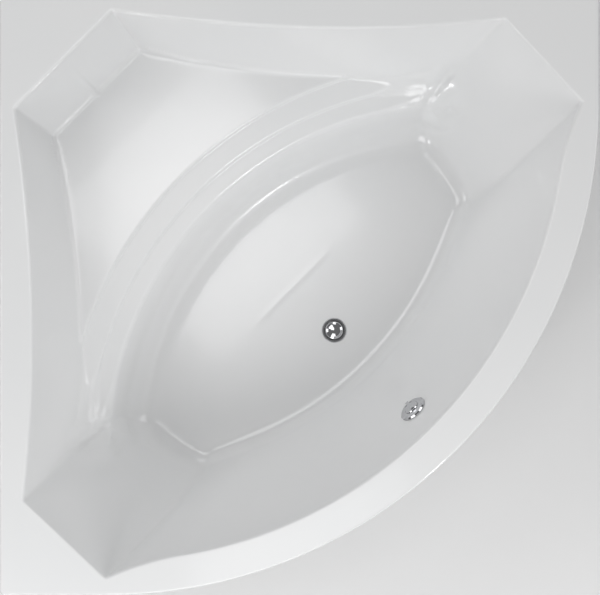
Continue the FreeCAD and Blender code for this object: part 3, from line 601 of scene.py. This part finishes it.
def footBlend(u, w, z):
    # radius between walls and whatever they stand on: tight at the seat, wide at the back rests
    byFloor = between((basin["seatBlend"], basin["floorBlend"]), smoothStep(-z, *basin["floorBlendDepth"]))
    atBack = smoothStep(u, *basin["ledgeBlendStart"]) * smoothStep(w, *basin["ledgeBlendSide"])
    return byFloor + (basin["ledgeBlend"] - byFloor) * atBack * (1 - smoothStep(u, *basin["ledgeBlendStop"]))


def openSpace(u, w, z):
    cavity = within(basinWalls(u, w, z), basinFloor(u, w, z), footBlend(u, w, z))
    return either(level(0.0, z), cavity, basin["mouth"])


# how finely the shell is netted, in millimetres, with angles in degrees round the middle of the basin
net = {
    "raySpacing": 0.55,
    "cornerSpacing": 0.15,        # between rays near the corners of the mouth, and how far that reaches
    "cornerReach": 1.2,
    "leastSpacing": 0.09,
    "tipRay": (152.0, 845.0),
    "rayReach": (20.0, 1400.0),   # where the search along a ray starts and ends
    "rounds": 22,                 # halvings of a search
    "footRounds": 14,
    "mouthRows": (14.0, 9.5, 7.2, 5.4, 3.8, 2.4, 1.2, 0.2, -0.8, -1.9, -3.2),
    "mouthSlant": 0.92,
    "wallStart": 11.0,
    "wallRows": np.linspace(0.04, 0.9, 13),
    "footAbove": (0.5, 0.36, 0.24, 0.13, 0.04),
    "footBeyond": (0.05, 0.16, 0.3, 0.46, 0.66, 0.9, 1.2),
    "footSpread": (0.78, 62.0),   # of the foot's radius, and the most
    "cornerStep": 4.0,
    "cornerSides": (2.6, 5.4, 9.0, 14.0, 20.0),
    "cornerRounds": 12,
    "bowCornerDepth": 275.0,
    "lensReach": 900.0,
    "lensKeep": 700.0,
    "lensEdgeRows": (34, 26, 19, 13.5, 9.5, 6.2, 3.6, 1.5, -0.5),
    "lensWallRows": (12, 22, 34, 48, 64, 80, 96, 110),
    "lensFootRows": (6, -1, -8, -15, -22, -30, -38, -47, -56),
    "stepTurn": 0.72,             # radians each side of the diagonal
    "stepPoints": 180,
    "upperStepRadii": (1062, 1058, 1054.5, 1052, 1050.3, 1048.8, 1047.2, 1045.5, 1043.8, 1042, 1039.5, 1036,
                       1028, 1019, 1010),
    "lowerStepRadii": (1003, 999, 996, 993.8, 992.2, 990.8, 989.3, 987.6, 985.9, 984, 981, 977, 970),
    "lineGap": 1.2,               # least distance between points of corner and step rows
    "bandGap": 1.3,
    "tipGrid": {"u": (60, 330), "v": (420, 660), "spacing": 6.0, "gap": 3.6},
    "openGrid": {"u": (-900, 500), "v": (-900, 900), "spacing": 11.0, "gap": 6.5},
    "mouthSpace": 1.2,            # kept free inside the mouth's last ring, and round the holes
    "holeSpace": 1.5,
    "holePoints": 64,
}


def bisect(test, low, high, rounds):
    # where test turns from negative at low to positive at high
    for _ in range(rounds):
        half = (low + high) / 2
        over = test(half) > 0
        high = np.where(over, half, high)
        low = np.where(over, low, half)
    return (low + high) / 2


def heightAt(u, w):
    # the surface under a point of the plan
    above = np.full(u.shape, 5.0)
    below = np.full(u.shape, -basin["depth"] - 40.0)
    return bisect(lambda z: openSpace(u, w, z).value, above, below, net["rounds"])


def onRays(rays, test, depth, reach=net["rayReach"][1]):
    # how far out along each ray the test turns positive, at a depth
    cu, cw = np.cos(rays), np.sin(rays)
    z = np.zeros(rays.shape) - depth
    near = np.full(rays.shape, net["rayReach"][0])
    far = np.full(rays.shape, reach)
    return bisect(lambda t: test(cu * t, np.abs(cw * t), z), near, far, net["rounds"])


def toRow(u, v):
    return (u + v) * halfRoot, (v - u) * halfRoot


def rayAngles():
    # even rays, closer together at the six corners of the mouth
    rays = list(np.arange(-180, 180, net["raySpacing"]))
    reach = net["cornerReach"]
    for u, w in (basin["bowTop"][0], basin["bowTop"][2], net["tipRay"]):
        for side in (-1, 1):
            at = math.degrees(math.atan2(side * w, u))
            rays += [at + step for step in np.arange(-reach, reach + 0.01, net["cornerSpacing"])]
    rays = sorted(((ray + 180) % 360) - 180 for ray in rays)
    kept = [rays[0]]
    for ray in rays[1:]:
        if ray - kept[-1] > net["leastSpacing"]:
            kept.append(ray)
    return np.radians(np.array(kept))


def mouthRings():
    # rounding of the mouth, as closed rings of one point on each ray
    rays = rayAngles()
    cu, cw = np.cos(rays), np.sin(rays)
    rings = []
    for offset in net["mouthRows"]:
        shift = net["mouthSlant"] * offset
        t = onRays(rays, lambda u, w, z: basinWalls(u, w, z).value - shift, 0.0)
        rings.append(np.stack([cu * t, cw * t]))
    return rays, np.array(rings)          # ring, axis, ray


def wallRows(rays):
    # points down the walls, closer together where they turn into seat, ledges and floor
    cu, cw = np.cos(rays), np.sin(rays)

    def walls(u, w, z):
        return basinWalls(u, w, z).value

    def floorOnWall(depth):
        t = onRays(rays, walls, depth)
        return basinFloor(cu * t, np.abs(cw * t), -depth).value

    shallow = np.full(rays.shape, 20.0)
    deep = np.full(rays.shape, basin["depth"] + 10.0)
    foot = bisect(floorOnWall, shallow, deep, net["footRounds"])
    footT = onRays(rays, walls, foot)
    share, most = net["footSpread"]
    spread = np.minimum(footBlend(cu * footT, np.abs(cw * footT), -foot) * share, most)
    start = net["wallStart"]
    rows = [onRays(rays, walls, start + (foot - start) * down) for down in net["wallRows"]]
    rows += [footT + spread * out for out in net["footAbove"]]
    rows += [footT - spread * out for out in net["footBeyond"]]
    return [(cu * t, cw * t) for t in rows]


def meeting(first, second, u, w, z):
    # where two walls meet at each depth, nearer with each round from a first guess
    nudge = 0.5
    for _ in range(net["cornerRounds"]):
        a, b = first(u, w, z), second(u, w, z)
        alongA, alongB = first(u + nudge, w, z) - a, second(u + nudge, w, z) - b
        outA, outB = first(u, w + nudge, z) - a, second(u, w + nudge, z) - b
        turn = (alongA * outB - alongB * outA) / nudge
        u = u - (a * outB - b * outA) / turn
        w = w - (b * alongA - a * alongB) / turn
    return u, w


def cornerRows():
    # points on both sides of the corners between the walls, all the way down
    corners = [
        (chamferReach, bowReach, basin["bowTop"][0], basin["bowLow"][0], basin["seatDepth"] + 2),
        (bowReach, backReach, basin["bowTop"][2], basin["bowLow"][2], net["bowCornerDepth"]),
        (backReach, frontReach, basin["tipTop"], basin["tipLow"], basin["depth"] + 2)]
    sides = [0.0] + [sign * side for side in net["cornerSides"] for sign in (-1, 1)]
    rows = []
    for first, second, high, low, deepest in corners:
        z = -np.arange(net["cornerStep"], deepest, net["cornerStep"])
        u, w = linear((high[0], low[0]), z), linear((high[1], low[1]), z)
        u, w = meeting(first, second, u, w, z)
        du, dw = np.gradient(u), np.gradient(w)
        length = np.hypot(du, dw)
        for side in sides:
            rows.append((u - side * dw / length, w + side * du / length))
    return rows + [(u, -w) for u, w in rows]


def lensRows(rays):
    # points along the edge, wall and bottom blend of the sunken floor
    def lens(offset, depth):
        return onRays(rays, lambda u, w, z: lensWalls(u, w, z).value - offset, depth, net["lensReach"])

    edgeDepth = basin["lensEdge"][0]
    rows = [lens(offset, edgeDepth) for offset in net["lensEdgeRows"]]
    rows += [lens(0, edgeDepth + step) for step in net["lensWallRows"]]
    rows += [lens(offset, basin["depth"]) for offset in net["lensFootRows"]]
    cu, cw = np.cos(rays), np.sin(rays)
    kept = [t < net["lensKeep"] for t in rows]
    return [(cu[keep] * t[keep], cw[keep] * t[keep]) for t, keep in zip(rows, kept)]


def stepRows():
    # points along both edges of each low step, in line with one another
    turn = np.linspace(-net["stepTurn"], net["stepTurn"], net["stepPoints"])
    return [(basin["seatAxis"] - radius * np.cos(turn), radius * np.sin(turn))
            for radius in net["upperStepRadii"] + net["lowerStepRadii"]]


def hexagonGrid(u, v, spacing):
    rows = []
    for i, place in enumerate(np.arange(*v, spacing * 0.866)):
        row = np.arange(u[0] + (spacing / 2 if i % 2 else 0), u[1], spacing)
        rows.append((row, np.full(row.shape, place)))
    return rows


def insideMouth(rows, rays, mouth):
    points = np.concatenate([np.stack(row).T for row in rows])
    angle = np.arctan2(points[:, 1], points[:, 0])
    edge = np.interp(angle, rays, mouth, period=2 * math.pi)
    return points[np.hypot(points[:, 0], points[:, 1]) < edge - net["mouthSpace"]]


def interiorPoints(rays, lastRing):
    # one group after another, each point no nearer than the group's gap to the points already there
    tip, wide = net["tipGrid"], net["openGrid"]
    mirrored = (-tip["v"][1], -tip["v"][0])
    groups = [
        (cornerRows(), net["lineGap"]),
        (stepRows(), net["lineGap"]),
        (lensRows(rays), net["bandGap"]),
        (wallRows(rays), net["bandGap"]),
        (hexagonGrid(tip["u"], mirrored, tip["spacing"]), tip["gap"]),
        (hexagonGrid(tip["u"], tip["v"], tip["spacing"]), tip["gap"]),
        (hexagonGrid(wide["u"], wide["v"], wide["spacing"]), wide["gap"]),
    ]
    mouth = np.hypot(*lastRing)
    around = [(across, along) for across in (-1, 0, 1) for along in (-1, 0, 1)]
    kept = []
    for rows, gap in groups:
        cells = {}
        for u, v in kept:
            cells.setdefault((int(u // gap), int(v // gap)), []).append((u, v))
        for u, v in insideMouth(rows, rays, mouth):
            row, column = int(u // gap), int(v // gap)
            near = (spot for a, b in around for spot in cells.get((row + a, column + b), ()))
            if all((u - s) ** 2 + (v - t) ** 2 > gap * gap for s, t in near):
                cells.setdefault((row, column), []).append((u, v))
                kept.append((u, v))
    return np.array(kept)


# rim and its lip, in millimetres
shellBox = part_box("tub_shell")
deck = {
    "height": round(shellBox[1].z / mm, 3),
    "half": round(shellBox[1].x / mm, 3),
    "frontCentre": (-480.0, 480.0),
    "frontRadius": 1230.0,
    "corner": 15.0,
    "edge": 7.0,
    "lip": 40.0,
    "frontPoints": 190,
    "cornerPoints": 9,
    "edgePoints": 8,
    "sideSpacing": 12.0,
    "inset": (12.0, 9.0),         # rows of points on the flat deck beside its edge
    "lipRows": (14.0, 26.0, 38.0),
    "lipEdge": (0.3, 1.0),
}


def outerLoop():
    # outer contour of the rim with its outward directions
    half, corner = deck["half"], deck["corner"]
    cx, cy = deck["frontCentre"]
    points, normals = [], []

    def addArc(centreX, centreY, radius, start, count):
        for angle in np.radians(np.linspace(start, start + 90, count)):
            points.append((centreX + radius * math.cos(angle), centreY + radius * math.sin(angle)))
            normals.append((math.cos(angle), math.sin(angle)))

    def addSide(last, first, angle):
        count = max(2, int(math.hypot(first[0] - last[0], first[1] - last[1]) / deck["sideSpacing"]))
        for share in np.linspace(0, 1, count + 1)[1:-1]:
            points.append((last[0] + (first[0] - last[0]) * share, last[1] + (first[1] - last[1]) * share))
            normals.append((math.cos(angle), math.sin(angle)))

    addArc(cx, cy, deck["frontRadius"], -90, deck["frontPoints"])
    for signX, signY, start in ((1, 1, 0), (-1, 1, 90), (-1, -1, 180)):
        centreX, centreY = signX * (half - corner), signY * (half - corner)
        angle = math.radians(start)
        first = (centreX + corner * math.cos(angle), centreY + corner * math.sin(angle))
        addSide(points[-1], first, angle)
        addArc(centreX, centreY, corner, start, deck["cornerPoints"])
    addSide(points[-1], points[0], math.radians(-90))
    return np.array(points), np.array(normals)


def deckRows():
    # inset from the contour and height of each row of points, from the flat deck round the edge to the lip
    edge, lip = deck["edge"], deck["lip"]
    rows = [(inset, 0.0) for inset in deck["inset"]]
    rows += [(edge - edge * math.sin(angle), -edge + edge * math.cos(angle))
             for angle in np.radians(np.linspace(0, 90, deck["edgePoints"]))]
    rows += [(0.0, -drop) for drop in deck["lipRows"]]
    small, large = deck["lipEdge"]
    return rows + [(small, large - small - lip), (large, -lip)]


def holeRings():
    turn = np.linspace(0, 2 * math.pi, net["holePoints"], endpoint=False)
    return [np.stack([u + halfU * np.cos(turn), halfV * np.sin(turn)]).T
            for u, halfU, halfV in basin["holes"]]


def clearOfHoles(points):
    space = net["holeSpace"]
    for u, halfU, halfV in basin["holes"]:
        away = np.hypot((points[:, 0] - u) / (halfU + space), points[:, 1] / (halfV + space))
        points = points[away > 1]
    return points


def onSurface(u, v):
    x, y = toRow(u, v)
    return list(zip(x, y, heightAt(u, np.abs(v))))


def ringFaces(start, rings, count):
    # faces between rings of points that follow one another
    faces = []
    for ring in range(rings - 1):
        for i in range(count):
            a = start + ring * count + i
            b = start + ring * count + (i + 1) % count
            faces.append((a, b, b + count, a + count))
    return faces


def triangulated(plan, loops, inside):
    # triangles between closed loops, each as three places in the plan
    flat = [Vector((float(a), float(b))) for a, b in plan]
    edges = [(loop[i], loop[(i + 1) % len(loop)]) for loop in loops for i in range(len(loop))]
    _, _, triangles, origins, _, _ = geometry.delaunay_2d_cdt(flat, edges, [], int(inside), 1e-6)
    return [[origins[corner][0] for corner in triangle] for triangle in triangles]


def basinNet(rays, rings):
    # the rounding of the mouth, then walls, seat, terraces and floor inside its last ring
    rayCount = len(rays)
    points = [point for u, v in rings for point in onSurface(u, v)]
    faces = ringFaces(0, len(rings), rayCount)
    print("rounding of the mouth:", len(points), "points")
    holes = holeRings()
    inner = np.concatenate(holes + [clearOfHoles(interiorPoints(rays, rings[-1]))])
    holePoints = net["holePoints"]
    loops = [range(rayCount)]
    loops += [range(rayCount + k * holePoints, rayCount + (k + 1) * holePoints) for k in range(len(holes))]
    lastRing = len(points) - rayCount
    for triangle in triangulated(np.concatenate([rings[-1].T, inner]), loops, True):
        owners = {(i - rayCount) // holePoints for i in triangle}
        inHole = len(owners) == 1 and 0 <= min(owners) < len(holes)
        if not inHole:
            faces.append(tuple(lastRing + i for i in triangle))
    points += onSurface(inner[:, 0], inner[:, 1])
    print("basin inside the mouth:", len(inner), "points")
    return points, faces


def deckNet(rays, mouth, start):
    # rim deck round the mouth, its rounded edge and the lip; its first point is number start
    contour, outward = outerLoop()
    count = len(contour)
    rows = deckRows()
    points = [(x, y, height) for inset, height in rows for x, y in contour - outward * inset]
    faces = ringFaces(start, len(rows), count)
    plan = np.concatenate([contour - outward * rows[0][0], np.stack(toRow(*mouth)).T])
    mouthReach = np.hypot(*mouth)
    for triangle in triangulated(plan, [range(count), range(count, count + len(rays))], False):
        x, y = plan[triangle].mean(0)
        angle = math.atan2((x + y) * halfRoot, (x - y) * halfRoot)
        if math.hypot(x, y) > np.interp(angle, rays, mouthReach, period=2 * math.pi):
            faces.append(tuple(start + i if i < count else i - count for i in triangle))
    return points, faces


def facedUp(mesh):
    work = bmesh.new()
    work.from_mesh(mesh)
    bmesh.ops.recalc_face_normals(work, faces=work.faces)
    top = max(work.faces, key=lambda face: face.calc_center_median().z)
    if top.normal.z < 0:
        bmesh.ops.reverse_faces(work, faces=work.faces)
    for face in work.faces:
        face.smooth = True
    work.to_mesh(mesh)
    work.free()


def tubShell():
    rays, rings = mouthRings()
    points, faces = basinNet(rays, rings)
    deckPoints, deckFaces = deckNet(rays, rings[0], len(points))
    mesh = bpy.data.meshes.new("tubShell")
    mesh.from_pydata([(x * mm, y * mm, (z + deck["height"]) * mm) for x, y, z in points + deckPoints], [],
                     faces + deckFaces)
    mesh.validate()
    facedUp(mesh)
    mesh.materials.append(finishes["acrylic"])
    mesh.materials.append(finishes["backing"])
    piece = bpy.data.objects.new("tubShell", mesh)
    scene.collection.objects.link(piece)
    thick = piece.modifiers.new("wall", "SOLIDIFY")
    thick.thickness = basin["wall"] * mm
    thick.offset = -1
    thick.material_offset = 1
    thick.material_offset_rim = 0
    thick.use_even_offset = False
    return piece


shell = tubShell()
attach(shell, "bath")
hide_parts("tub_shell")
print("tub shell done")

studio = {
    "floorReach": 6.0,
    "floorColor": rgb(0.80, 0.80, 0.80),
    "floorRoughness": 0.6,
    "aim": (0.0, 0.0, 0.4),
    "worldColor": rgb(1.0, 1.0, 1.0),
    "worldStrength": 0.2,
}


def studioFloor():
    reach = studio["floorReach"]
    mesh = bpy.data.meshes.new("studioFloor")
    mesh.from_pydata([(-reach, -reach, 0), (reach, -reach, 0), (reach, reach, 0), (-reach, reach, 0)], [],
                     [(0, 1, 2, 3)])
    item = bpy.data.objects.new("studioFloor", mesh)
    scene.collection.objects.link(item)
    finish = Finish("paleFloor")
    mesh.materials.append(finish.surface({
        "Base Color": studio["floorColor"], "Roughness": studio["floorRoughness"]}))


# soft boxes around and above the bath, and two low strips that draw the bright lines on its edges
lights = [
    {"name": "softLeft", "place": (-2.4, 0.0, 2.2), "size": (1.6, 1.2), "power": 17.0},
    {"name": "softFront", "place": (0.0, -2.4, 2.2), "size": (1.6, 1.2), "power": 24.0},
    {"name": "softCorner", "place": (1.8, -1.8, 2.2), "size": (1.6, 1.2), "power": 5.0},
    {"name": "softRight", "place": (2.4, 0.0, 2.2), "size": (1.6, 1.2), "power": 12.0},
    {"name": "softBack", "place": (0.0, 2.4, 2.2), "size": (1.6, 1.2), "power": 14.0},
    {"name": "softWall", "place": (-1.8, 1.8, 2.2), "size": (1.6, 1.2), "power": 3.0},
    {"name": "highFront", "place": (0.0, -1.4, 4.6), "size": (1.2, 1.0), "power": 6.0},
    {"name": "highSeat", "place": (-0.5, 0.5, 4.6), "size": (1.3, 1.3), "power": 15.0},
    {"name": "stripLeft", "place": (-1.07, -1.57, 1.3), "size": (0.14, 0.5), "power": 4.0},
    {"name": "stripRight", "place": (1.24, -1.44, 1.3), "size": (0.14, 0.5), "power": 5.0},
]


def addLamp(lamp):
    data = bpy.data.lights.new(lamp["name"], "AREA")
    data.shape = "RECTANGLE"
    data.size, data.size_y = lamp["size"]
    data.energy = lamp["power"]
    item = bpy.data.objects.new(lamp["name"], data)
    item.location = lamp["place"]
    toAim = Vector(studio["aim"]) - Vector(lamp["place"])
    item.rotation_euler = toAim.to_track_quat("-Z", "Y").to_euler()
    scene.collection.objects.link(item)


def lightWorld():
    world = bpy.data.worlds.new("studioWorld")
    scene.world = world
    world.use_nodes = True
    background = world.node_tree.nodes["Background"]
    background.inputs["Color"].default_value = studio["worldColor"]
    background.inputs["Strength"].default_value = studio["worldStrength"]


studioFloor()
for lamp in lights:
    addLamp(lamp)
lightWorld()
print("stage and lights done")
